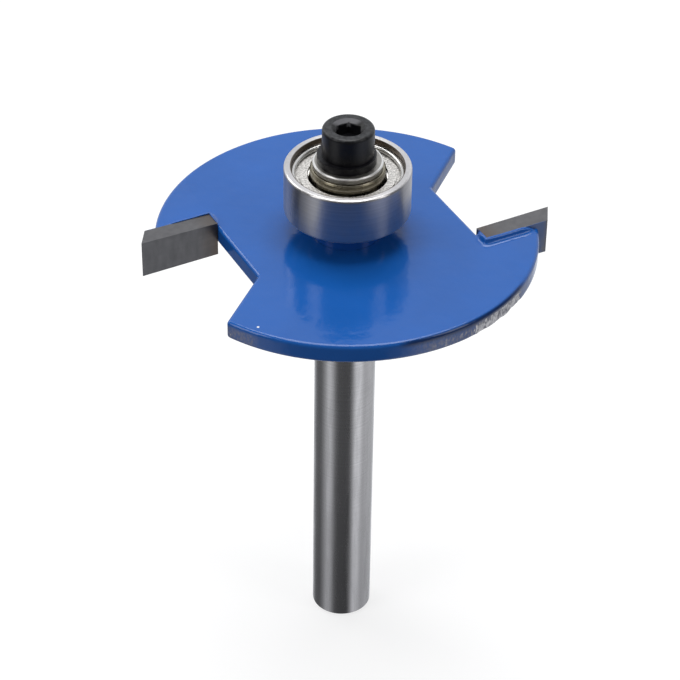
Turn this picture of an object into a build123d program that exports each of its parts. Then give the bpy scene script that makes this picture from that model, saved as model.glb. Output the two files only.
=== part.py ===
from build123d import *
import os
from math import cos, radians, sin, tan

# A slot cutting router bit that stands on the end of its shank, with the guide bearing on top.
# Sizes are in millimetres. The origin is the middle of the shank's end, Z runs up the axis that
# the bit turns about, and X runs out through the cutting corner of the first carbide tip.

# Arbor, from the end of the shank upwards
shank_diameter = 6.35
shank_length = 41.5
shank_end_chamfer = 0.25
shank_root_radius = 1.2
hub_diameter = 10.0
hub_height = 4.6
hub_edge_chamfer = 0.3
seat_diameter = 7.0
shoulder_height = 2.73
spigot_recess = 0.3
spigot_chamfer = 0.2
spigot_clearance = 0.01

# Cutter disc
disc_diameter = 38.5
disc_thickness = 2.0
disc_edge_radius = 0.4
disc_bore_clearance = 0.03

# Wings, each with a carbide tip that reaches past the disc and the gullet in front of it
wing_count = 2
tip_reach = 1.4
hook_angle = 17.2
tip_height = 3.97
tip_thickness = 2.0
tip_length = 8.3
tip_drop = 0.35
tip_end_relief = 14.0
tip_side_relief = 0.8
tip_back_relief = 1.5
braze_gap = 0.05
gullet_rise = 3.0
gullet_angle = 42.5
gullet_root_radius = 0.5

# Guide bearing
bearing_bore = 4.7625
bearing_diameter = 12.7
bearing_width = 4.978
bearing_edge_radius = 0.25
inner_ring_chamfer = 0.15
inner_ring_diameter = 7.5
outer_ring_land_diameter = 9.96
ball_count = 7
ball_diameter = 2.38125
race_clearance = 0.04

# Shields, the wires that snap them in, and the recess that they sit in
shield_thickness = 0.12
shield_recess = 1.0
shield_step = 0.15
shield_bore_clearance = 0.28
shield_face_diameter = 9.66
shield_rim_clearance = 0.05
recess_diameter = 11.3
wire_diameter = 0.55
wire_groove_depth = 0.08
wire_clearance = 0.01
wire_gap_angle = 14.0
wire_gap_turn = 252.0

# Riveted ribbon cage that spaces the balls
cage_thickness = 0.09
cage_ball_clearance = 0.03
cage_ring_clearance = 0.14
cage_shield_clearance = 0.08
rivet_diameter = 0.36
rivet_head_diameter = 0.62
rivet_head_height = 0.12

# Fasteners on top of the bearing
flat_washer_diameter = 7.0
flat_washer_bore = 3.4
flat_washer_thickness = 0.67
flat_washer_edge_chamfer = 0.1
lock_washer_diameter = 5.9
lock_washer_bore = 3.38
lock_washer_thickness = 0.8
lock_washer_split = 0.35
lock_washer_split_slope = 25.0
lock_washer_split_turn = 60.0
lock_washer_drift = 0.13
lock_washer_drift_turn = 169.0
screw_diameter = 3.175
screw_length = 7.94
screw_tip_chamfer = 0.4
screw_head_diameter = 5.2
screw_head_height = 3.02
screw_head_edge_radius = 0.35
socket_across_flats = 2.38
socket_depth = 1.5
socket_mouth_diameter = 3.4
socket_mouth_slope = 40.0
socket_turn = 19.1
thread_clearance = 0.05
tapped_hole_spare = 1.5

# Places along the axis
hub_taper = (hub_diameter - shank_diameter) / 2
disc_bottom = shank_length + hub_height + hub_taper
disc_top = disc_bottom + disc_thickness
bearing_bottom = disc_top + shoulder_height
bearing_middle = bearing_bottom + bearing_width / 2
bearing_top = bearing_bottom + bearing_width
spigot_top = bearing_top - spigot_recess
flat_washer_top = bearing_top + flat_washer_thickness
head_bottom = flat_washer_top + lock_washer_thickness
head_top = head_bottom + screw_head_height
screw_end = head_bottom - screw_length

# Radii that pieces share
shank_radius = shank_diameter / 2
hub_radius = hub_diameter / 2
seat_radius = seat_diameter / 2
disc_radius = disc_diameter / 2
cutting_radius = disc_radius + tip_reach
bore_radius = bearing_bore / 2
ring_outer_radius = bearing_diameter / 2
inner_land_radius = inner_ring_diameter / 2
outer_land_radius = outer_ring_land_diameter / 2
pitch_radius = (bore_radius + ring_outer_radius) / 2
ball_radius = ball_diameter / 2
groove_radius = ball_radius + race_clearance
recess_radius = recess_diameter / 2
wire_radius = wire_diameter / 2

# Each wing is drawn in a frame of its own: U runs out along the cutting face of its tip, and V
# runs towards the gullet. The corner that cuts is where the face meets the cutting circle.
corner_u = cutting_radius * cos(radians(hook_angle))
face_v = -cutting_radius * sin(radians(hook_angle))
back_v = face_v - tip_thickness
tip_inner_u = corner_u - tip_length
wall_u = tip_inner_u - braze_gap
tip_bottom = disc_bottom + disc_thickness / 2 - tip_height / 2 - tip_drop


def wing_plane(turn, height):
    """The plane of a wing at a height, turned so that its X is the wing's U."""
    return Plane.XY.offset(height).rotated((0, 0, hook_angle + turn))


wing_turns = [wing * 360 / wing_count for wing in range(wing_count)]


def corner(sketch, radius, height):
    """The corner of a turned profile at a radius and a height."""
    return sketch.vertices().sort_by_distance((radius, height, 0))[0]


# The arbor is turned from bar: shank, tapered hub, the seat of the disc, which runs on up as the
# shoulder under the bearing, and the spigot through the bearing, tapped for the screw.
spigot_radius = bore_radius - spigot_clearance
with BuildPart() as arbor:
    with BuildSketch(Plane.XZ) as arbor_profile:
        with BuildLine():
            Polyline(
                (0, 0),
                (shank_radius, 0),
                (shank_radius, shank_length),
                (hub_radius, shank_length + hub_taper),
                (hub_radius, disc_bottom),
                (seat_radius, disc_bottom),
                (seat_radius, bearing_bottom),
                (spigot_radius, bearing_bottom),
                (spigot_radius, spigot_top),
                (0, spigot_top),
                close=True,
            )
        make_face()
        fillet(corner(arbor_profile, shank_radius, shank_length), radius=shank_root_radius)
        chamfer(corner(arbor_profile, shank_radius, 0), length=shank_end_chamfer)
        chamfer(corner(arbor_profile, hub_radius, disc_bottom), length=hub_edge_chamfer)
        chamfer(corner(arbor_profile, spigot_radius, spigot_top), length=spigot_chamfer)
    revolve(axis=Axis.Z)
    with Locations((0, 0, spigot_top)):
        Hole(radius=screw_diameter / 2, depth=spigot_top - screw_end + tapped_hole_spare)

# One gullet: a wall square to the tip, a small radius at its root, and a straight run out to the
# rim. The notch goes back behind the cutting face to make the seat of the tip.
past_rim_u = disc_radius + tip_length
with BuildSketch() as gullet:
    with BuildLine():
        Polyline(
            (wall_u, back_v),
            (past_rim_u, back_v),
            (past_rim_u, gullet_rise + (past_rim_u - wall_u) * tan(radians(gullet_angle))),
            (wall_u, gullet_rise),
            close=True,
        )
    make_face()
    fillet(corner(gullet, wall_u, gullet_rise), radius=gullet_root_radius)


def outside_tip_seats(edge):
    """Whether an edge of the disc may be rounded: not its bore, and not where a tip is seated."""
    middle = edge.center()
    if edge.geom_type == GeomType.CIRCLE and edge.radius < wall_u:
        return edge.radius < 2 * gullet_root_radius
    in_wings = [wing_plane(turn, 0).to_local_coords(middle) for turn in wing_turns]
    return not any(place.X > wall_u and abs(place.Y - back_v) < braze_gap for place in in_wings)


# The disc is cut from plate, slipped over the arbor's seat and brazed down on its hub. Its rim
# and gullets are rounded, and its tip seats stay sharp.
with BuildPart() as cutter_disc:
    with BuildSketch(Plane.XY.offset(disc_bottom)):
        Circle(disc_radius)
        with Locations([Rotation(0, 0, hook_angle + turn) for turn in wing_turns]):
            add(gullet.sketch, mode=Mode.SUBTRACT)
        Circle(seat_radius + disc_bore_clearance, mode=Mode.SUBTRACT)
    extrude(amount=disc_thickness)
    flat_faces = cutter_disc.faces().filter_by(Axis.Z)
    fillet(flat_faces.edges().filter_by(outside_tip_seats), radius=disc_edge_radius)

# Each tip is a ground block of carbide. Its outer end and both sides are relieved, so that only
# the edges of its face rub.
end_slope = tan(radians(hook_angle + tip_end_relief))
side_slope = tan(radians(tip_side_relief))
back_slope = tan(radians(tip_back_relief))
carbide_tips = []
for turn in wing_turns:
    with BuildPart() as carbide_tip:
        with BuildSketch(wing_plane(turn, tip_bottom)):
            with BuildLine():
                Polyline(
                    (tip_inner_u, back_v),
                    (corner_u - tip_thickness * end_slope, back_v),
                    (corner_u, face_v),
                    (tip_inner_u, face_v),
                    close=True,
                )
            make_face()
        extrude(amount=tip_height)
        for height, side in ((tip_bottom, -1), (tip_bottom + tip_height, 1)):
            wing = wing_plane(turn, height)
            cutting_corner = wing.from_local_coords((corner_u, face_v, 0))
            facing = wing.from_local_coords(Vector(-side_slope * side, -back_slope * side, 1)) - wing.origin
            split(bisect_by=Plane(cutting_corner, z_dir=facing * side), keep=Keep.BOTTOM)
    carbide_tips.append(carbide_tip)

# The bearing's own heights are counted from the plane of the balls, with its two sides alike.
half_width = bearing_width / 2
shield_face_height = half_width - shield_recess
shield_rim_height = shield_face_height - shield_step
ledge_height = shield_rim_height - shield_thickness
wire_path_radius = recess_radius + wire_groove_depth - wire_radius
wire_height = shield_rim_height + wire_clearance + wire_radius
shield_rim_radius = recess_radius - shield_rim_clearance
shield_face_radius = shield_face_diameter / 2
shield_bore_radius = inner_land_radius + shield_bore_clearance
sides = {"upper": 1, "lower": -1}


def side_plane(height, turn=0):
    """An upright plane through the axis: its X runs outwards at a turn, and its Y runs up."""
    outwards = Vector(1, 0, 0).rotate(Axis.Z, turn)
    return Plane(origin=(0, 0, height), x_dir=outwards, z_dir=outwards.rotate(Axis.Z, -90))


# Inner ring, clamped between the arbor's shoulder and the washers, with a groove for the balls.
with BuildPart() as bearing_inner_ring:
    with BuildSketch(side_plane(bearing_middle)) as inner_profile:
        with BuildLine():
            Polyline(
                (bore_radius, -half_width),
                (inner_land_radius, -half_width),
                (inner_land_radius, half_width),
                (bore_radius, half_width),
                close=True,
            )
        make_face()
        chamfer(inner_profile.vertices(), length=inner_ring_chamfer)
        with Locations((pitch_radius, 0)):
            Circle(groove_radius, mode=Mode.SUBTRACT)
    revolve(axis=Axis.Z)

# Outer ring, which rolls along the work. Each end is bored out to a ledge for its shield, with a
# small V groove, open at a right angle, for the wire that holds the shield down.
with BuildPart() as bearing_outer_ring:
    with BuildSketch(side_plane(bearing_middle)) as outer_profile:
        with BuildLine():
            Polyline(
                (ring_outer_radius, -half_width),
                (ring_outer_radius, half_width),
                (recess_radius, half_width),
                (recess_radius, ledge_height),
                (outer_land_radius, ledge_height),
                (outer_land_radius, -ledge_height),
                (recess_radius, -ledge_height),
                (recess_radius, -half_width),
                close=True,
            )
        make_face()
        for side in sides.values():
            fillet(corner(outer_profile, ring_outer_radius, side * half_width), radius=bearing_edge_radius)
        with Locations((pitch_radius, 0)):
            Circle(groove_radius, mode=Mode.SUBTRACT)
        with Locations([(wire_path_radius, side * wire_height) for side in sides.values()]):
            RegularPolygon(wire_radius + wire_clearance, 4, major_radius=False, rotation=45, mode=Mode.SUBTRACT)
    revolve(axis=Axis.Z)

# Balls
ball_plane = Plane.XY.offset(bearing_middle)
balls = []
for place in PolarLocations(pitch_radius, ball_count).local_locations:
    with BuildPart(ball_plane) as ball:
        with Locations(place):
            Sphere(ball_radius)
    balls.append(ball)

# The cage is two stamped ribbons, each bent to a half round arch over every ball and riveted
# together between the balls.
pocket_radius = ball_radius + cage_ball_clearance
arch_radius = pocket_radius + cage_thickness
cage_inner_radius = inner_land_radius + cage_ring_clearance
cage_outer_radius = shield_face_radius - shield_thickness - cage_shield_clearance
rivet_radius = (cage_inner_radius + cage_outer_radius) / 2
rivet_turn = 180 / ball_count
cage_halves = {}
for side_name, side in sides.items():
    with BuildPart(ball_plane) as cage_half:
        with BuildSketch(ball_plane):
            Circle(cage_outer_radius)
        extrude(amount=side * cage_thickness)
        with PolarLocations(pitch_radius, ball_count):
            Cylinder(arch_radius, 2 * arch_radius, rotation=(0, 90, 0))
        with PolarLocations(pitch_radius, ball_count):
            Cylinder(pocket_radius, 3 * arch_radius, rotation=(0, 90, 0), mode=Mode.SUBTRACT)
        with BuildSketch(ball_plane):
            Circle(ring_outer_radius)
        extrude(amount=-side * arch_radius, mode=Mode.SUBTRACT)
        with BuildSketch(ball_plane):
            Circle(ring_outer_radius)
            Circle(cage_outer_radius, mode=Mode.SUBTRACT)
            Circle(cage_inner_radius)
            with PolarLocations(rivet_radius, ball_count, start_angle=rivet_turn):
                Circle(rivet_diameter / 2)
        extrude(amount=side * arch_radius, mode=Mode.SUBTRACT)
    cage_halves[side_name] = cage_half

with BuildPart(ball_plane) as cage_rivets:
    with PolarLocations(rivet_radius, ball_count, start_angle=rivet_turn):
        Cylinder(rivet_diameter / 2, 2 * cage_thickness)
        for side in sides.values():
            with Locations((0, 0, side * (cage_thickness + rivet_head_height / 2))):
                Cylinder(rivet_head_diameter / 2, rivet_head_height)

# Pressed shields: a rim that lies on the outer ring's ledge, and a raised face that stops just
# short of the inner ring. A sprung wire, open at one place, holds each of them down.
shields = {}
snap_wires = {}
for side_name, side in sides.items():
    with BuildPart() as shield:
        with BuildSketch(side_plane(bearing_middle)):
            with BuildLine():
                Polyline(
                    (shield_rim_radius, side * ledge_height),
                    (shield_rim_radius, side * shield_rim_height),
                    (shield_face_radius, side * shield_rim_height),
                    (shield_face_radius, side * shield_face_height),
                    (shield_bore_radius, side * shield_face_height),
                    (shield_bore_radius, side * (shield_face_height - shield_thickness)),
                    (shield_face_radius - shield_thickness, side * (shield_face_height - shield_thickness)),
                    (shield_face_radius - shield_thickness, side * ledge_height),
                    close=True,
                )
            make_face()
        revolve(axis=Axis.Z)
    shields[side_name] = shield
    with BuildPart() as snap_wire:
        wire_start = side_plane(bearing_middle + side * wire_height, wire_gap_turn + wire_gap_angle / 2)
        with BuildSketch(wire_start):
            with Locations((wire_path_radius, 0)):
                Circle(wire_radius)
        revolve(axis=Axis.Z, revolution_arc=360 - wire_gap_angle)
    snap_wires[side_name] = snap_wire

# Flat washer, blanked from sheet, with its outer edges broken.
with BuildPart() as flat_washer:
    with BuildSketch(Plane.XY.offset(bearing_top)):
        Circle(flat_washer_diameter / 2)
        Circle(flat_washer_bore / 2, mode=Mode.SUBTRACT)
    extrude(amount=flat_washer_thickness)
    rims = flat_washer.edges().filter_by(GeomType.CIRCLE).group_by(SortBy.RADIUS)[-1]
    chamfer(rims, length=flat_washer_edge_chamfer)

# Lock washer, a turn of square wire pressed flat by the screw, with a slanted split. It has
# slipped to one side as far as its bore allows.
drift = Vector(lock_washer_drift, 0, 0).rotate(Axis.Z, lock_washer_drift_turn)
lock_washer_plane = Plane(drift + Vector(0, 0, flat_washer_top))
with BuildPart(lock_washer_plane) as lock_washer:
    with BuildSketch(lock_washer_plane):
        Circle(lock_washer_diameter / 2)
        Circle(lock_washer_bore / 2, mode=Mode.SUBTRACT)
    extrude(amount=lock_washer_thickness)
    with Locations((0, 0, lock_washer_thickness / 2)):
        with PolarLocations(lock_washer_diameter / 2, 1, start_angle=lock_washer_split_turn):
            Box(
                lock_washer_diameter,
                lock_washer_split,
                2 * lock_washer_thickness,
                rotation=(lock_washer_split_slope, 0, 0),
                mode=Mode.SUBTRACT,
            )

# Socket head cap screw. Its fine thread is left plain, a running clearance inside the tapped hole.
screw_shank_radius = screw_diameter / 2 - thread_clearance
socket_mouth_radius = socket_mouth_diameter / 2
with BuildPart() as cap_screw:
    with BuildSketch(Plane.XZ) as screw_profile:
        with BuildLine():
            Polyline(
                (0, screw_end),
                (screw_shank_radius, screw_end),
                (screw_shank_radius, head_bottom),
                (screw_head_diameter / 2, head_bottom),
                (screw_head_diameter / 2, head_top),
                (0, head_top),
                close=True,
            )
        make_face()
        fillet(corner(screw_profile, screw_head_diameter / 2, head_top), radius=screw_head_edge_radius)
        chamfer(corner(screw_profile, screw_shank_radius, screw_end), length=screw_tip_chamfer)
    revolve(axis=Axis.Z)
    with BuildSketch(Plane.XY.offset(head_top)):
        RegularPolygon(socket_across_flats / 2, 6, major_radius=False, rotation=socket_turn)
    extrude(amount=-socket_depth, mode=Mode.SUBTRACT)
    with BuildSketch(Plane.XZ):
        with BuildLine():
            Polyline(
                (0, head_top),
                (socket_mouth_radius, head_top),
                (0, head_top - socket_mouth_radius * tan(radians(socket_mouth_slope))),
                close=True,
            )
        make_face()
    revolve(axis=Axis.Z, mode=Mode.SUBTRACT)

pieces = {
    "arbor": arbor,
    "cutter_disc": cutter_disc,
    "bearing_inner_ring": bearing_inner_ring,
    "bearing_outer_ring": bearing_outer_ring,
    "cage_rivets": cage_rivets,
    "flat_washer": flat_washer,
    "lock_washer": lock_washer,
    "cap_screw": cap_screw,
}
for number, carbide_tip in enumerate(carbide_tips, start=1):
    pieces[f"carbide_tip_{number}"] = carbide_tip
for number, ball in enumerate(balls, start=1):
    pieces[f"ball_{number}"] = ball
for side_name in sides:
    pieces[f"ball_cage_{side_name}"] = cage_halves[side_name]
    pieces[f"shield_{side_name}"] = shields[side_name]
    pieces[f"snap_wire_{side_name}"] = snap_wires[side_name]

os.makedirs("parts", exist_ok=True)
for name, piece in pieces.items():
    piece.part.label = name
    export_step(piece.part, f"parts/{name}.step")
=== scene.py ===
import bmesh
import bpy
from math import atan2, cos, degrees, pi, radians, sin, tan
from mathutils import Matrix, Vector, noise


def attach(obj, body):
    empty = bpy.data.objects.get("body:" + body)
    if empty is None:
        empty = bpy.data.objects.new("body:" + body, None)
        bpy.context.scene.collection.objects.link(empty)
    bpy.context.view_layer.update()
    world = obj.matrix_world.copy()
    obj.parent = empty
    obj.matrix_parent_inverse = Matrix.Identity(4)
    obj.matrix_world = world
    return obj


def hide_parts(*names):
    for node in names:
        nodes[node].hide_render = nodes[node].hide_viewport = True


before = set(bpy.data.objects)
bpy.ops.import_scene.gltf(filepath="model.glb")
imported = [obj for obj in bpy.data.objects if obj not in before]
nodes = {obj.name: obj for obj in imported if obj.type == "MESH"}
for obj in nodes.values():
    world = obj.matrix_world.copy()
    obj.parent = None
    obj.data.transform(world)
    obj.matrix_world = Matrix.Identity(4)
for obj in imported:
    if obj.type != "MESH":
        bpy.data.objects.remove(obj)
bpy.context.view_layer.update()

# The arbor, turned from steel bar. Its shank is ground to size between centres, which leaves fine
# rings and a soft grey sheen. Its steel is painted darker toward its end, a painted shade for the
# shadowed table that it mirrors there. Its hub and shoulder are sprayed blue with the disc.
MM = 0.001
GRINDING = 0.22 * MM
GROUND_STEEL = (0.405, 0.396, 0.398, 1), (0.475, 0.465, 0.467, 1)
GRIND_RELIEF = 0.0003 * MM
SMEAR_SIZE = 0.5 * MM
# Painted shade: the shank's steel is darker toward its end, for the shadowed table it mirrors.
FOOT_SHADE_THINS_OUT = 0, 30 * MM
FOOT_SHADE_STEEL = (0.325, 0.318, 0.322, 1)
PAINT_STARTS = 41.2 * MM, 41.4 * MM
PAINT_BLUE = (0.009, 0.082, 0.37, 1)


def feed(finish, made, inputs):
    """Sets a node's inputs to numbers or colours, or links them to other nodes' outputs."""
    for name, value in inputs.items():
        if isinstance(value, bpy.types.NodeSocket):
            finish.node_tree.links.new(value, made.inputs[name])
        else:
            made.inputs[name].default_value = value


def add_node(finish, kind, inputs=(), output=0, **settings):
    """Adds a shader node to a finish, feeds its inputs and returns one of its outputs."""
    made = finish.node_tree.nodes.new("ShaderNode" + kind)
    for name, value in settings.items():
        setattr(made, name, value)
    feed(finish, made, dict(inputs))
    return made.outputs[output]


def new_finish(name):
    """A new material, which has only its main shader."""
    finish = bpy.data.materials.new(name)
    finish.use_nodes = True
    return finish


def lay_on(finish, settings, *names):
    """Sets a finish's main shader, and lays the finish on CAD nodes."""
    feed(finish, finish.node_tree.nodes["Principled BSDF"], settings)
    for name in names:
        nodes[name].material_slots[0].material = finish


def ramp(finish, factor, low, high, from_low=0.0, from_high=1.0):
    """Maps a factor smoothly from one range to another."""
    inputs = {
        "Value": factor,
        "From Min": from_low,
        "From Max": from_high,
        "To Min": low,
        "To Max": high,
    }
    return add_node(finish, "MapRange", inputs, interpolation_type="SMOOTHSTEP")


def above(finish, factor, low, high):
    """One where a factor is above a range, nothing where it is below, and a smooth way between."""
    return ramp(finish, factor, 0, 1, low, high)


def below(finish, factor, low, high):
    """One where a factor is below a range, nothing where it is above, and a smooth way between."""
    return ramp(finish, factor, 1, 0, low, high)


def blend_of(finish, factor, first, second):
    """A colour part of the way between two others."""
    return add_node(finish, "Mix", {0: factor, 6: first, 7: second}, 2, data_type="RGBA")


def between(finish, factor, first, second):
    """A number part of the way between two others."""
    return add_node(finish, "Mix", {0: factor, 2: first, 3: second})


def parts_of(finish, place):
    """The three parts of a place or a direction."""
    split = finish.node_tree.nodes.new("ShaderNodeSeparateXYZ")
    feed(finish, split, {0: place})
    return split.outputs


def place_on(finish):
    """The place of a point on the object, and its parts across, back and up."""
    place = add_node(finish, "TexCoord", output="Object")
    return place, parts_of(finish, place)


def drawn_out(finish, place, scale):
    """A place whose patterns come out longer where the scale is small."""
    return add_node(finish, "Mapping", {"Vector": place, "Scale": scale})


def rings(finish, along, spacing):
    """Fine lines that run round the axis, as grinding and turning leave them."""
    inputs = {"W": along, "Scale": 1 / spacing, "Detail": 3, "Roughness": 0.7}
    return add_node(finish, "TexNoise", inputs, noise_dimensions="1D")


def cloudy(finish, place, size, detail=3):
    """A soft uneven pattern with spots of about one size."""
    return add_node(finish, "TexNoise", {"Vector": place, "Scale": 1 / size, "Detail": detail})


def relief(finish, height, depth):
    """The normal of a surface that has a fine relief of some depth."""
    return add_node(finish, "Bump", {"Height": height, "Distance": depth, "Strength": 1.0})


def across_rings(finish, across, back):
    """The direction in which rings round the axis spread a highlight."""
    return add_node(finish, "CombineXYZ", {0: across, 1: back, 2: 0.003})


arbor_finish = new_finish("ground_shank_and_painted_hub")
place, (across, back, height) = place_on(arbor_finish)
painted = above(arbor_finish, height, *PAINT_STARTS)
grind = above(arbor_finish, rings(arbor_finish, height, GRINDING), 0.25, 0.75)
smear = cloudy(arbor_finish, drawn_out(arbor_finish, place, (1, 1, 0.1)), SMEAR_SIZE, 4)
smear = above(arbor_finish, smear, 0.3, 0.7)
# Painted shade: the steel darkens toward the shank's end, for the shadowed table that it mirrors.
painted_foot_shade = below(arbor_finish, height, *FOOT_SHADE_THINS_OUT)
steel = blend_of(arbor_finish, grind, *GROUND_STEEL)
steel = blend_of(arbor_finish, painted_foot_shade, steel, FOOT_SHADE_STEEL)
lay_on(
    arbor_finish,
    {
        "Base Color": blend_of(arbor_finish, painted, steel, PAINT_BLUE),
        "Metallic": ramp(arbor_finish, painted, 1, 0),
        "Roughness": between(arbor_finish, painted, ramp(arbor_finish, smear, 0.17, 0.29), 0.12),
        "Anisotropic": 0.8,
        "Tangent": across_rings(arbor_finish, across, back),
        "Normal": relief(arbor_finish, grind, GRIND_RELIEF),
    },
    "arbor",
)

# The cutter disc, cut from plate, its rim and gullets rounded over, and painted a glossy blue once
# it is brazed to the hub. Its rim has been knocked: part of it is chewed down to bare steel, and
# the paint is scuffed and chipped at one corner. Above the chewed part, a dark reflection is
# painted into its upper edge as a darker band, and a white painted glint sits by the chipped corner.
HOOK = radians(17.2)
DISC_RADIUS = 19.25 * MM
DISC_BOTTOM = 47.925 * MM
DISC_THICK = 2.0 * MM
DISC_TOP = DISC_BOTTOM + DISC_THICK
DISC_EDGE = 0.4 * MM
DISC_BORE = 3.53 * MM
CUTTING_RADIUS = 20.65 * MM
TIP_LENGTH = 8.3 * MM
TIP_THICK = 2.0 * MM
GULLET_RISE = 3.0 * MM
GULLET_SLOPE = radians(42.5)
ROOT_RADIUS = 0.5 * MM
HORN_RADIUS = 0.43 * MM
NEAR = 0.01 * MM

# Each wing is drawn unturned by the hook angle: u runs out along its tip, and v across it. The tip
# lies between its back and its face, and the wall that its inner end meets runs on into the gullet.
FACE_V = -CUTTING_RADIUS * sin(HOOK)
BACK_V = FACE_V - TIP_THICK
SEAT_END_V = FACE_V - 0.4 * MM
TIP_END_U = CUTTING_RADIUS * cos(HOOK) - TIP_LENGTH
WALL_U = TIP_END_U - 0.05 * MM
RIM_U = (DISC_RADIUS**2 - BACK_V**2) ** 0.5

# Where the rim has been knocked, and the band of its upper edge where a dark reflection is painted:
# from and to which turn in degrees, and from and to which share of its height, each with how
# softly it fades.
CHEWED = (-61, -38, 7), (-0.5, 0.72, 0.2)
SCUFFED = (-78, -36, 12), (-0.5, 0.66, 0.3)
DARK_REFLECTION_BAND = (-84, -37, 6), (0.70, 0.97, 0.05)
CHIPPED = (-138, -127, 3), (0.1, 0.75, 0.2)
CHEW_DEPTH = 0.13 * MM
CHEW_GRAIN = 0.025 * MM
CHIP_DEPTH = 0.03 * MM

DISC_PAINT = (0.007, 0.082, 0.33, 1), (0.010, 0.105, 0.42, 1)
# The darker paint of the painted dark reflection on the rim's upper edge.
DARK_REFLECTION_PAINT = (0.004, 0.026, 0.11, 1)
RUBBED_PAINT = (0.24, 0.235, 0.28, 1)
CHEWED_STEEL = (0.14, 0.14, 0.165, 1), (0.56, 0.55, 0.56, 1)
# A painted glint: a white dot where a tiny chip near the scuffed corner catches the light.
GLINT_WHITE = (0.8, 0.8, 0.8, 1)
GLINT_PLACE = (-11.17 * MM, -14.53 * MM, 49.92 * MM)
GLINT_EDGE = 0.09 * MM, 0.16 * MM


def only(kind, items):
    """Picks the corners or the edges out of what an operator returns."""
    return [item for item in items if isinstance(item, kind)]


def extend(shape, vertex, place):
    """Draws a line from a corner of an outline to a new corner."""
    new = bmesh.ops.extrude_vert_indiv(shape, verts=[vertex])["verts"][0]
    new.co = place
    return new


def swing(shape, vertex, centre, angle, steps):
    """Draws an arc from a corner of an outline about a centre, and returns its end."""
    spun = bmesh.ops.spin(
        shape, geom=[vertex], cent=centre, axis=(0, 0, 1), angle=angle, steps=steps
    )
    return only(bmesh.types.BMVert, spun["geom_last"])[0]


def turn_about_axis(shape, verts, angle):
    """Turns part of a shape about the bit's axis."""
    turned = Matrix.Rotation(angle, 3, "Z")
    bmesh.ops.rotate(shape, verts=verts, cent=(0, 0, 0), matrix=turned)


def into_object(name, shape, finish, smooth_below):
    """Makes an object of a finished shape, which rides on the cutter. Its sharp edges stay sharp."""
    mesh = bpy.data.meshes.new(name)
    shape.to_mesh(mesh)
    shape.free()
    mesh.materials.append(finish)
    mesh.shade_smooth()
    mesh.set_sharp_from_angle(angle=radians(smooth_below))
    piece = bpy.data.objects.new(name, mesh)
    bpy.context.scene.collection.objects.link(piece)
    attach(piece, "cutter")
    return piece


def half_outline(shape):
    """Draws half of the disc: rim, seat, gullet with its round root and its horn, rim and bore."""
    slope = tan(GULLET_SLOPE)
    horn_rise = GULLET_RISE - WALL_U * slope + HORN_RADIUS / cos(GULLET_SLOPE)
    squares = 1 + slope**2
    reach = DISC_RADIUS - HORN_RADIUS
    horn_u = (-slope * horn_rise + (squares * reach**2 - horn_rise**2) ** 0.5) / squares
    horn = Vector((horn_u, horn_rise + slope * horn_u, 0))
    horn_start = horn + HORN_RADIUS * Vector((sin(GULLET_SLOPE), -cos(GULLET_SLOPE), 0))
    horn_turn = atan2(horn.y, horn.x) + pi / 2 - GULLET_SLOPE
    seat_end = Vector((RIM_U, BACK_V, 0))
    half_rim = (pi + atan2(seat_end.y, seat_end.x) - atan2(horn.y, horn.x)) / 2
    root_turn = pi / 2 - GULLET_SLOPE
    root_start = GULLET_RISE - ROOT_RADIUS * tan(root_turn / 2)
    # One long step ends the rim at the seat, because the rounding folds back on short ones there.
    by_the_seat = radians(2)
    axis = Vector((0, 0, 0))
    first = shape.verts.new(Matrix.Rotation(-half_rim, 3, "Z") @ seat_end)
    last = swing(shape, first, axis, half_rim - by_the_seat, 120)
    last = swing(shape, last, axis, by_the_seat, 1)
    for v in (BACK_V, SEAT_END_V, root_start):
        last = extend(shape, last, Vector((WALL_U, v, 0)))
    last = swing(shape, last, Vector((WALL_U + ROOT_RADIUS, root_start, 0)), -root_turn, 8)
    last = extend(shape, last, horn_start)
    last = swing(shape, last, horn, horn_turn, 5)
    last = swing(shape, last, axis, half_rim, 120)
    last = extend(shape, last, last.co * (DISC_BORE / DISC_RADIUS))
    last = swing(shape, last, axis, -pi, 48)
    bmesh.ops.contextual_create(shape, geom=[last, first])
    bmesh.ops.edgenet_fill(shape, edges=shape.edges[:])


def rounded_edges(shape):
    """The edges of the disc's top and bottom that are rounded: all but the bore's and the seats'."""
    outline = []
    for edge in shape.edges:
        start, end = (vertex.co for vertex in edge.verts)
        middle = (start + end) / 2
        level = abs(start.z - end.z) < NEAR
        by_the_bore = middle.xy.length < 1.5 * DISC_BORE
        on_a_seat = abs(middle.x) > WALL_U - NEAR and SEAT_END_V > -abs(middle.y) > BACK_V - NEAR
        if level and edge.calc_face_angle() > radians(60) and not by_the_bore and not on_a_seat:
            outline.append(edge)
    return outline


def bump_between(value, low, high, soft):
    """One between two limits, falling softly to nothing outside them."""
    rise = min(max((value - low) / soft + 0.5, 0), 1)
    fall = min(max((high - value) / soft + 0.5, 0), 1)
    return rise * rise * (3 - 2 * rise) * fall * fall * (3 - 2 * fall)


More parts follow.
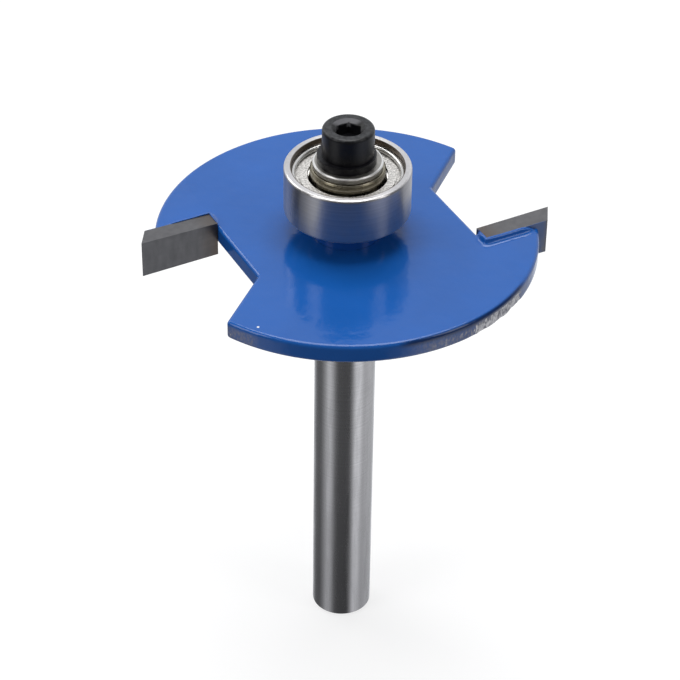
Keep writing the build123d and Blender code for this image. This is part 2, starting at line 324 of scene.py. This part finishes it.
def knock_rim(shape):
    """Pushes the rim in where it is chewed and chipped, and marks worn paint and a painted dark
    reflection.
    """
    worn = shape.verts.layers.float.new("worn")
    dark_reflection = shape.verts.layers.float.new("dark_reflection")
    for vertex in shape.verts:
        place = vertex.co
        radius = place.xy.length
        if radius < DISC_RADIUS - 1.2 * DISC_EDGE:
            continue
        turn = degrees(atan2(place.y, place.x))
        up = (place.z - DISC_BOTTOM) / DISC_THICK
        out = Vector((place.x, place.y, 0)) / radius
        chewed, scuffed, dark_band, chipped = (
            bump_between(turn, *stretch) * bump_between(up, *rise)
            for stretch, rise in (CHEWED, SCUFFED, DARK_REFLECTION_BAND, CHIPPED)
        )
        lump = noise.noise(place / (1.1 * MM)) + 0.5 * noise.noise(place / (0.45 * MM))
        fine = noise.noise(place / (0.16 * MM))
        place -= out * chewed * (CHEW_DEPTH * max(lump + 0.25, 0) + CHEW_GRAIN * fine)
        place -= out * chipped * CHIP_DEPTH * max(lump, 0)
        vertex[worn] = max(chewed, 0.55 * scuffed, 0.5 * chipped)
        # The band where a dark reflection is painted into the paint.
        vertex[dark_reflection] = dark_band


def painted_disc():
    """Doubles half of the outline about the axis, raises it, rounds it over and knocks its rim."""
    shape = bmesh.new()
    half_outline(shape)
    half = shape.verts[:] + shape.edges[:] + shape.faces[:]
    other_half = bmesh.ops.duplicate(shape, geom=half)["geom"]
    turn_about_axis(shape, only(bmesh.types.BMVert, other_half), pi)
    bmesh.ops.remove_doubles(shape, verts=shape.verts[:], dist=NEAR)
    bmesh.ops.translate(shape, verts=shape.verts[:], vec=(0, 0, DISC_BOTTOM))
    raised = bmesh.ops.extrude_face_region(shape, geom=shape.faces[:], use_keep_orig=True)["geom"]
    tops = only(bmesh.types.BMVert, raised)
    bmesh.ops.translate(shape, verts=tops, vec=(0, 0, DISC_THICK))
    bmesh.ops.recalc_face_normals(shape, faces=shape.faces[:])
    bmesh.ops.bevel(
        shape,
        geom=rounded_edges(shape),
        offset=DISC_EDGE,
        offset_type="OFFSET",
        segments=6,
        profile=0.5,
        affect="EDGES",
        material=-1,
        clamp_overlap=False,
    )
    walls = [
        edge
        for edge in shape.edges
        if abs(edge.verts[0].co.z - edge.verts[1].co.z) > DISC_THICK / 2
        and edge.verts[0].co.xy.length > 0.99 * DISC_RADIUS
    ]
    bmesh.ops.subdivide_edges(shape, edges=walls, cuts=5, use_grid_fill=True)
    # The broad faces are divided while the shape is a thousand times larger, because the operator
    # is inexact on very small ones.
    bmesh.ops.scale(shape, verts=shape.verts[:], vec=(1 / MM, 1 / MM, 1 / MM))
    broad = [face for face in shape.faces if len(face.verts) > 4]
    bmesh.ops.triangulate(shape, faces=broad, quad_method="BEAUTY", ngon_method="BEAUTY")
    bmesh.ops.scale(shape, verts=shape.verts[:], vec=(MM, MM, MM))
    turn_about_axis(shape, shape.verts[:], HOOK)
    knock_rim(shape)
    return shape


def sum_of(finish, first, second):
    """One number added to another."""
    return add_node(finish, "Math", {0: first, 1: second}, operation="ADD")


def product_of(finish, first, second):
    """One number times another."""
    return add_node(finish, "Math", {0: first, 1: second}, operation="MULTIPLY")


blue_paint = new_finish("glossy_blue_paint")
place, _ = place_on(blue_paint)
peel = cloudy(blue_paint, place, 1.6 * MM, 2)
paint = blend_of(blue_paint, cloudy(blue_paint, place, 6 * MM, 4), *DISC_PAINT)
worn = add_node(blue_paint, "Attribute", output="Fac", attribute_name="worn")
dark_reflection = add_node(blue_paint, "Attribute", output="Fac", attribute_name="dark_reflection")
scratches = cloudy(blue_paint, drawn_out(blue_paint, place, (1, 1, 0.45)), 0.22 * MM, 4)
bare = above(blue_paint, sum_of(blue_paint, worn, scratches), 1.12, 1.30)
paler = product_of(blue_paint, worn, ramp(blue_paint, scratches, 0.5, 1.3, 0.35, 0.65))
chewed_steel = blend_of(blue_paint, above(blue_paint, scratches, 0.35, 0.65), *CHEWED_STEEL)
# Painted glint: a white dot by the chipped corner of the rim.
painted_glint = {0: place, 1: GLINT_PLACE}
painted_glint = add_node(blue_paint, "VectorMath", painted_glint, "Value", operation="DISTANCE")
painted_glint = below(blue_paint, painted_glint, *GLINT_EDGE)
# Painted reflection: a dark band on the upper edge above the chewed part.
paint = blend_of(blue_paint, dark_reflection, paint, DARK_REFLECTION_PAINT)
paint = blend_of(blue_paint, paler, paint, RUBBED_PAINT)
paint = blend_of(blue_paint, bare, paint, chewed_steel)
gloss = ramp(blue_paint, cloudy(blue_paint, place, 3 * MM, 4), 0.08, 0.17)
lay_on(
    blue_paint,
    {
        "Base Color": blend_of(blue_paint, painted_glint, paint, GLINT_WHITE),
        "Metallic": product_of(blue_paint, bare, 0.85),
        "Roughness": between(blue_paint, bare, gloss, 0.35),
        "IOR": 1.46,
        "Normal": relief(blue_paint, peel, 0.04 * MM),
    },
)
disc = into_object("painted_disc", painted_disc(), blue_paint, 40)
disc.modifiers.new("even_light_on_flats", "WEIGHTED_NORMAL").keep_sharp = True
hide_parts("cutter_disc")

# The braze round each tip, which stands up in a fillet against its back and its inner end, and is
# painted over with the disc. It runs out thin at the rim and at the gullet.
BEAD_PROFILE = (
    (-0.04, -0.15),
    (-0.04, 0.62),
    (0.07, 0.63),
    (0.17, 0.58),
    (0.24, 0.48),
    (0.28, 0.34),
    (0.33, 0.20),
    (0.43, 0.09),
    (0.60, 0.025),
    (0.85, -0.02),
    (0.85, -0.15),
)
BEAD_START_U = RIM_U - 0.6 * MM
BEAD_END_V = FACE_V - 0.35 * MM
THINS_TO_RIM = 1.6 * MM
THINS_TO_GULLET = 1.0 * MM
BEAD_LUMPS = 1.4 * MM


def braze_bead(turn):
    """A fillet along the back of a tip and round its inner corner, a little lumpy as it flowed."""
    shape = bmesh.new()
    ring = [
        shape.verts.new((BEAD_START_U, BACK_V - out * MM, DISC_TOP + up * MM))
        for out, up in BEAD_PROFILE
    ]
    shape.faces.new(ring)
    edges = shape.edges[:]
    along_back = Vector((TIP_END_U - BEAD_START_U, 0, 0)) / 36
    along_end = Vector((0, BEAD_END_V - BACK_V, 0)) / 10
    for run, angle, steps in ((along_back, 0, 36), ((0, 0, 0), -pi / 2, 12), (along_end, 0, 10)):
        spun = bmesh.ops.spin(
            shape,
            geom=edges,
            cent=(TIP_END_U, BACK_V, 0),
            axis=(0, 0, 1),
            dvec=run,
            angle=angle,
            steps=steps,
        )
        edges = only(bmesh.types.BMEdge, spun["geom_last"])
    bmesh.ops.holes_fill(shape, edges=[edge for edge in shape.edges if edge.is_boundary])
    bmesh.ops.remove_doubles(shape, verts=shape.verts[:], dist=0.001 * MM)
    bmesh.ops.recalc_face_normals(shape, faces=shape.faces[:])
    for vertex in shape.verts:
        place = vertex.co
        up = place.z - DISC_TOP
        to_rim = to_gullet = 1
        if place.y < BACK_V + 0.1 * MM:
            to_rim = min((BEAD_START_U - place.x) / THINS_TO_RIM, 1)
        if place.x < TIP_END_U:
            to_gullet = min((BEAD_END_V - place.y) / THINS_TO_GULLET, 1)
        fade = max(min(to_rim, to_gullet), 0)
        fade = fade * (2 - fade)
        if up > 0:
            flow = noise.noise(place / BEAD_LUMPS + Vector((turn, 0, 0)))
            place.z = DISC_TOP + up * (0.95 + 0.08 * flow) * (0.08 + 0.92 * fade)
        if place.x < TIP_END_U and place.y > BACK_V:
            place.x = TIP_END_U - (TIP_END_U - place.x) * (0.45 + 0.55 * fade)
    turn_about_axis(shape, shape.verts[:], HOOK + turn)
    return shape


for number, turn in ((1, 0), (2, pi)):
    into_object(f"braze_bead_{number}", braze_bead(turn), blue_paint, 50)

# The carbide tips, pressed and sintered blocks ground on every side, and brazed into the disc's
# seats. Carbide is a dull dark grey, with fine lines along it from the wheel, brown soot from the
# torch at its inner end, and a little blue overspray on its back near the rim.
CARBIDE_GREY = (0.075, 0.075, 0.078, 1), (0.145, 0.142, 0.147, 1)
SOOT = (0.085, 0.058, 0.038, 1)
SOOT_THINS_OUT = WALL_U, WALL_U + 2.6 * MM
OVERSPRAY = (0.05, 0.10, 0.24, 1)
OVERSPRAY_THINS_OUT = RIM_U + 0.9 * MM, RIM_U + 1.6 * MM
OVERSPRAY_DRIFT = 1.2 * MM
BACK_FACE = BACK_V + 0.03 * MM, BACK_V + 0.06 * MM

carbide = new_finish("ground_carbide")
place, _ = place_on(carbide)
unturned = add_node(carbide, "Mapping", {"Vector": place, "Rotation": (0, 0, -HOOK)})
u, v, _ = parts_of(carbide, unturned)
out = add_node(carbide, "Math", {0: u}, operation="ABSOLUTE")
ahead = product_of(carbide, add_node(carbide, "Math", {0: u}, operation="SIGN"), v)
lines = cloudy(carbide, drawn_out(carbide, unturned, (0.05, 1, 1)), 0.18 * MM)
smudges = cloudy(carbide, drawn_out(carbide, unturned, (1, 1, 0.35)), 0.7 * MM, 4)
sooty = product_of(carbide, below(carbide, out, *SOOT_THINS_OUT), smudges)
grey = blend_of(carbide, smudges, *CARBIDE_GREY)
grey = blend_of(carbide, sooty, grey, SOOT)
drifted = {0: smudges, 1: OVERSPRAY_DRIFT, 2: out}
drifted = add_node(carbide, "Math", drifted, operation="MULTIPLY_ADD")
sprayed = below(carbide, drifted, *OVERSPRAY_THINS_OUT)
sprayed = product_of(carbide, below(carbide, ahead, *BACK_FACE), sprayed)
lay_on(
    carbide,
    {
        "Base Color": blend_of(carbide, sprayed, grey, OVERSPRAY),
        "Metallic": ramp(carbide, sprayed, 0.8, 0.1),
        "Roughness": ramp(carbide, lines, 0.30, 0.42),
        "Normal": relief(carbide, lines, 0.004 * MM),
    },
    "carbide_tip_1",
    "carbide_tip_2",
)

# The guide bearing's outer ring, hardened steel ground on its outside, whose fine rings draw each
# light out into an upright streak. The step inside its bore is stained brown by old grease.
RING_GRINDING = 0.2 * MM
RING_RELIEF = 0.0004 * MM
STAINED_STEP = 5.68 * MM, 5.74 * MM
RING_WALL = 6.28 * MM, 6.33 * MM
RING_TOP_STEEL = (0.52, 0.505, 0.50, 1), (0.70, 0.685, 0.68, 1)
RING_WALL_STEEL = (0.33, 0.325, 0.335, 1), (0.38, 0.375, 0.385, 1)
OLD_GREASE = (0.10, 0.078, 0.06, 1)


def from_axis(finish, across, back):
    """How far a point is from the bit's axis."""
    outward = add_node(finish, "CombineXYZ", {0: across, 1: back})
    return add_node(finish, "VectorMath", {0: outward}, "Value", operation="LENGTH")


outer_steel = new_finish("ground_bearing_steel")
place, (across, back, height) = place_on(outer_steel)
grind = above(outer_steel, rings(outer_steel, height, RING_GRINDING), 0.25, 0.75)
radius = from_axis(outer_steel, across, back)
top = blend_of(outer_steel, cloudy(outer_steel, place, 0.4 * MM, 4), *RING_TOP_STEEL)
wall = blend_of(outer_steel, grind, *RING_WALL_STEEL)
steel = blend_of(outer_steel, above(outer_steel, radius, *RING_WALL), top, wall)
stained = below(outer_steel, radius, *STAINED_STEP)
lay_on(
    outer_steel,
    {
        "Base Color": blend_of(outer_steel, stained, steel, OLD_GREASE),
        "Metallic": 1.0,
        "Roughness": ramp(outer_steel, cloudy(outer_steel, place, 1 * MM), 0.27, 0.35),
        "Anisotropic": 0.8,
        "Tangent": across_rings(outer_steel, across, back),
        "Normal": relief(outer_steel, grind, RING_RELIEF),
    },
    "bearing_outer_ring",
)

# The inner ring, turned from the same steel and pushed over the arbor's spigot. It lies under a
# film of grease, dark and a little olive, with a bright turned line here and there.
GREASED_STEEL = (0.13, 0.11, 0.07, 1), (0.22, 0.20, 0.15, 1)
TURNED_LINE = (0.44, 0.41, 0.33, 1)
TURNING = 0.4 * MM

inner_steel = new_finish("greased_bearing_steel")
place, (_, _, height) = place_on(inner_steel)
film = cloudy(inner_steel, place, 0.6 * MM, 4)
turned = above(inner_steel, rings(inner_steel, height, TURNING), 0.42, 0.62)
greased = blend_of(inner_steel, film, *GREASED_STEEL)
lay_on(
    inner_steel,
    {
        "Base Color": blend_of(inner_steel, turned, greased, TURNED_LINE),
        "Metallic": 1.0,
        "Roughness": ramp(inner_steel, film, 0.22, 0.36),
        "Normal": relief(inner_steel, film, 0.004 * MM),
    },
    "bearing_inner_ring",
)

# The shields, pressed from thin steel sheet with a fine matt grain. They close the bearing above
# and below, and turn with its outer ring.
SHIELD_SHEET = (0.33, 0.32, 0.305, 1), (0.68, 0.665, 0.64, 1)
SHEET_GRAIN = 0.17 * MM

shield_steel = new_finish("matt_pressed_sheet")
place, _ = place_on(shield_steel)
grain = above(shield_steel, cloudy(shield_steel, place, SHEET_GRAIN, 4), 0.35, 0.65)
lay_on(
    shield_steel,
    {
        "Base Color": blend_of(shield_steel, grain, *SHIELD_SHEET),
        "Metallic": 1.0,
        "Roughness": ramp(shield_steel, grain, 0.46, 0.60),
        "Normal": relief(shield_steel, grain, 0.006 * MM),
    },
    "shield_upper",
    "shield_lower",
)

# The snap wires, split rings of hard drawn spring wire, which spring out into the outer ring and
# hold the shields in.
WIRE_STEEL = (0.50, 0.49, 0.47, 1), (0.68, 0.67, 0.65, 1)
DRAWING = 0.06 * MM

drawn_wire = new_finish("drawn_spring_wire")
_, (_, _, height) = place_on(drawn_wire)
draw_lines = rings(drawn_wire, height, DRAWING)
lay_on(
    drawn_wire,
    {
        "Base Color": blend_of(drawn_wire, draw_lines, *WIRE_STEEL),
        "Metallic": 1.0,
        "Roughness": ramp(drawn_wire, draw_lines, 0.18, 0.28),
    },
    "snap_wire_upper",
    "snap_wire_lower",
)

# The balls, lapped to a mirror, and the bright ribbon cage that spaces them, stamped from strip in
# two halves that rivets join.
BALL_STEEL = (0.60, 0.60, 0.61, 1), (0.68, 0.68, 0.69, 1)
CAGE_STRIP = (0.48, 0.47, 0.44, 1), (0.62, 0.61, 0.58, 1)

lapped = new_finish("lapped_ball_steel")
place, _ = place_on(lapped)
haze = cloudy(lapped, place, 0.4 * MM)
lay_on(
    lapped,
    {
        "Base Color": blend_of(lapped, haze, *BALL_STEEL),
        "Metallic": 1.0,
        "Roughness": ramp(lapped, haze, 0.05, 0.10),
    },
    *(f"ball_{number}" for number in range(1, 8)),
)
ribbon = new_finish("rolled_cage_ribbon")
place, _ = place_on(ribbon)
haze = cloudy(ribbon, place, 0.3 * MM)
lay_on(
    ribbon,
    {
        "Base Color": blend_of(ribbon, haze, *CAGE_STRIP),
        "Metallic": 1.0,
        "Roughness": ramp(ribbon, haze, 0.24, 0.36),
    },
    "ball_cage_upper",
    "ball_cage_lower",
    "cage_rivets",
)

# The flat washer, blanked from sheet and plated with zinc, which has gone dull. Its upper edge,
# where the sum of a point's radius and height is greatest, is painted pale as a painted highlight.
DULL_ZINC = (0.22, 0.21, 0.19, 1), (0.34, 0.33, 0.31, 1)
# The pale colour of the painted highlight on the washer's upper edge.
HIGHLIGHT_ZINC = (0.72, 0.71, 0.69, 1)
HIGHLIGHT_BAND = 61.58 * MM, 61.66 * MM

zinc = new_finish("dull_zinc_with_painted_highlight")
place, (across, back, height) = place_on(zinc)
bloom = cloudy(zinc, place, 0.5 * MM)
# Painted highlight: where radius and height add up most, the upper edge is painted pale.
edge = sum_of(zinc, from_axis(zinc, across, back), height)
edge = above(zinc, edge, *HIGHLIGHT_BAND)
lay_on(
    zinc,
    {
        "Base Color": blend_of(zinc, edge, blend_of(zinc, bloom, *DULL_ZINC), HIGHLIGHT_ZINC),
        "Metallic": 1.0,
        "Roughness": ramp(zinc, bloom, 0.28, 0.42),
        "Normal": relief(zinc, bloom, 0.003 * MM),
    },
    "flat_washer",
)

# The lock washer and the cap screw that clamps the stack, blackened in hot oxide salts and oiled.
# The top of the screw's head is painted a little paler, and the side of its socket's mouth away
# from the camera is painted pale as a painted highlight.
BLACK_OXIDE = (0.002, 0.002, 0.003, 1), (0.007, 0.007, 0.009, 1)
PALER_TOP_OXIDE = (0.005, 0.005, 0.006, 1), (0.027, 0.028, 0.030, 1)
# The pale colour of the painted highlight in the socket's mouth.
MOUTH_HIGHLIGHT_OXIDE = (0.003, 0.003, 0.003, 1), (0.15, 0.15, 0.16, 1)
HEAD_TOP = 61.85 * MM, 62.05 * MM
MOUTH_INSIDE = 1.22 * MM, 1.32 * MM
MOUTH_OUTSIDE = 1.64 * MM, 1.72 * MM
MOUTH_HEIGHT = 61.2 * MM, 61.4 * MM
# The side of the mouth, away from the camera, where the highlight is painted.
MOUTH_HIGHLIGHT_SIDE = 0.6 * MM, 1.2 * MM

black_oxide = new_finish("oiled_black_oxide")
place, (across, back, height) = place_on(black_oxide)
mottle = cloudy(black_oxide, place, 0.4 * MM, 4)
dark = blend_of(black_oxide, mottle, *BLACK_OXIDE)
# The top of the screw's head is painted a little paler.
paler = blend_of(black_oxide, above(black_oxide, mottle, 0.35, 0.65), *PALER_TOP_OXIDE)
# Painted highlight: the side of the socket's mouth away from the camera is painted pale.
mouth_highlight = blend_of(black_oxide, above(black_oxide, back, *MOUTH_HIGHLIGHT_SIDE), *MOUTH_HIGHLIGHT_OXIDE)
radius = from_axis(black_oxide, across, back)
mouth = above(black_oxide, radius, *MOUTH_INSIDE)
mouth = product_of(black_oxide, mouth, below(black_oxide, radius, *MOUTH_OUTSIDE))
mouth = product_of(black_oxide, mouth, above(black_oxide, height, *MOUTH_HEIGHT))
paler = blend_of(black_oxide, mouth, paler, mouth_highlight)
on_top = {0: above(black_oxide, height, *HEAD_TOP), 1: mouth}
on_top = add_node(black_oxide, "Math", on_top, operation="MAXIMUM")
lay_on(
    black_oxide,
    {
        "Base Color": blend_of(black_oxide, on_top, dark, paler),
        "Metallic": 0.0,
        "Roughness": ramp(black_oxide, mottle, 0.26, 0.42),
        "IOR": 1.36,
        "Normal": relief(black_oxide, mottle, 0.01 * MM),
    },
    "lock_washer",
    "cap_screw",
)

# The table is a wide white sheet, which keeps a soft shadow at the foot of the shank. It glows
# white for the camera, and the metal mirrors the walls in its place.
TABLE_RADIUS = 3.0
TABLE_PAPER = (0.3, 0.3, 0.3, 1)
TABLE_GLOW = 0.74

white_table = new_finish("white_table")
path = white_table.node_tree.nodes.new("ShaderNodeLightPath").outputs
lay_on(
    white_table,
    {
        "Base Color": TABLE_PAPER,
        "Roughness": 0.9,
        "Specular IOR Level": 0.0,
        "Emission Color": (1, 1, 1, 1),
        "Emission Strength": product_of(white_table, path["Is Camera Ray"], TABLE_GLOW),
    },
)
table_mesh = bpy.data.meshes.new("table")
shape = bmesh.new()
bmesh.ops.create_circle(shape, cap_ends=True, segments=64, radius=TABLE_RADIUS)
shape.to_mesh(table_mesh)
shape.free()
table_mesh.materials.append(white_table)
table = bpy.data.objects.new("table", table_mesh)
bpy.context.scene.collection.objects.link(table)
table.visible_glossy = False

# The walls of a small studio are white behind the object and dim where the camera stands. Lower
# down, where the shank mirrors them, two pale screens flank the camera: each pair below is a turn
# from the camera in degrees and how bright the wall is there.
CAMERA_TURN = -100.6
SCREENS = (
    (-180, 0.62),
    (-150, 0.55),
    (-132, 0.16),
    (-98, 0.14),
    (-80, 0.36),
    (-66, 0.68),
    (-56, 0.74),
    (-46, 0.58),
    (-32, 0.18),
    (-20, 0.11),
    (22, 0.09),
    (32, 0.30),
    (46, 0.96),
    (62, 1.0),
    (80, 0.60),
    (110, 0.66),
    (140, 0.55),
    (180, 0.62),
)
SCREEN_STRENGTH = 1.28
WALL_STRENGTH = 0.95, 0.15
WALL_TURNS_DIM = -0.6, -0.05
SCREENS_END = -0.4, -0.1
FILL_STRENGTH = 0.25
COOL_LIGHT = (0.96, 0.985, 1.03, 1)

world = bpy.data.worlds.new("studio")
bpy.context.scene.world = world
world.use_nodes = True
path = world.node_tree.nodes.new("ShaderNodeLightPath").outputs
to_camera = {"Vector": add_node(world, "TexCoord"), "Rotation": (0, 0, -radians(CAMERA_TURN))}
forward, sideways, upward = parts_of(world, add_node(world, "Mapping", to_camera))
facing = add_node(world, "Math", {0: sideways, 1: forward}, operation="ARCTAN2")
facing = add_node(world, "MapRange", {"Value": facing, "From Min": -pi, "From Max": pi})
round_walls = world.node_tree.nodes.new("ShaderNodeValToRGB")
feed(world, round_walls, {0: facing})
stops = round_walls.color_ramp.elements
for turn, bright in SCREENS:
    stops.new((turn + 180) / 360).color = (bright, bright, bright, 1)
for first_stop in (0, -1):
    stops.remove(stops[first_stop])
screens = product_of(world, round_walls.outputs[0], SCREEN_STRENGTH)
walls = ramp(world, forward, *WALL_STRENGTH, *WALL_TURNS_DIM)
walls = between(world, above(world, upward, *SCREENS_END), screens, walls)
white_or_walls = between(world, path["Is Camera Ray"], walls, 1.0)
mirroring = sum_of(world, path["Is Glossy Ray"], path["Is Transmission Ray"])
seen = {0: path["Is Camera Ray"], 1: mirroring}
seen = add_node(world, "Math", seen, operation="ADD", use_clamp=True)
background = {
    "Color": blend_of(world, path["Is Camera Ray"], COOL_LIGHT, (1, 1, 1, 1)),
    "Strength": between(world, seen, FILL_STRENGTH, white_or_walls),
}
feed(world, world.node_tree.nodes["Background"], background)

# The lamps are flat and soft, and face the disc: one high up behind it, one lower behind it on the
# left, and one on each side. A row is a lamp's turn from the camera and its rise in degrees, its
# distance, width and height in metres, and its brightness.
LAMPS_AIM = Vector((0, 0, 45 * MM))
LAMPS = {
    "lamp_overhead": (180, 80, 0.6, 0.4, 0.55, 4.4),
    "lamp_behind_left": (-128, 40, 0.7, 0.3, 0.3, 3.2),
    "lamp_left": (-60, 34, 0.7, 0.26, 0.4, 3.2),
    "lamp_right": (66, 35, 0.7, 0.2, 0.4, 2.6),
}
for name, (turn, rise, distance, width, height, brightness) in LAMPS.items():
    lamp = bpy.data.lights.new(name, "AREA")
    lamp.shape = "RECTANGLE"
    lamp.size = width
    lamp.size_y = height
    lamp.energy = pi * width * height * brightness
    stand = bpy.data.objects.new(name, lamp)
    bpy.context.scene.collection.objects.link(stand)
    turn, rise = radians(CAMERA_TURN + turn), radians(rise)
    away = Vector((cos(turn) * cos(rise), sin(turn) * cos(rise), sin(rise)))
    stand.location = LAMPS_AIM + away * distance
    stand.rotation_euler = away.to_track_quat("Z", "Y").to_euler()

# The camera stands where the photograph was taken from, found by fitting its place and its turn to
# the outlines of the shank, the disc and the bearing.
CAMERA_LENS = 133.043
CAMERA_PLACE = (-0.038226, -0.203382, 0.193771)
CAMERA_TILT = (52.6891, -0.646, -10.0033)

eye = bpy.data.cameras.new("camera")
eye.lens = CAMERA_LENS
eye.sensor_width = 36
eye.clip_start = 0.01
camera = bpy.data.objects.new("camera", eye)
bpy.context.scene.collection.objects.link(camera)
camera.location = CAMERA_PLACE
camera.rotation_euler = [radians(angle) for angle in CAMERA_TILT]
bpy.context.scene.camera = camera
bpy.context.scene.view_settings.view_transform = "Standard"
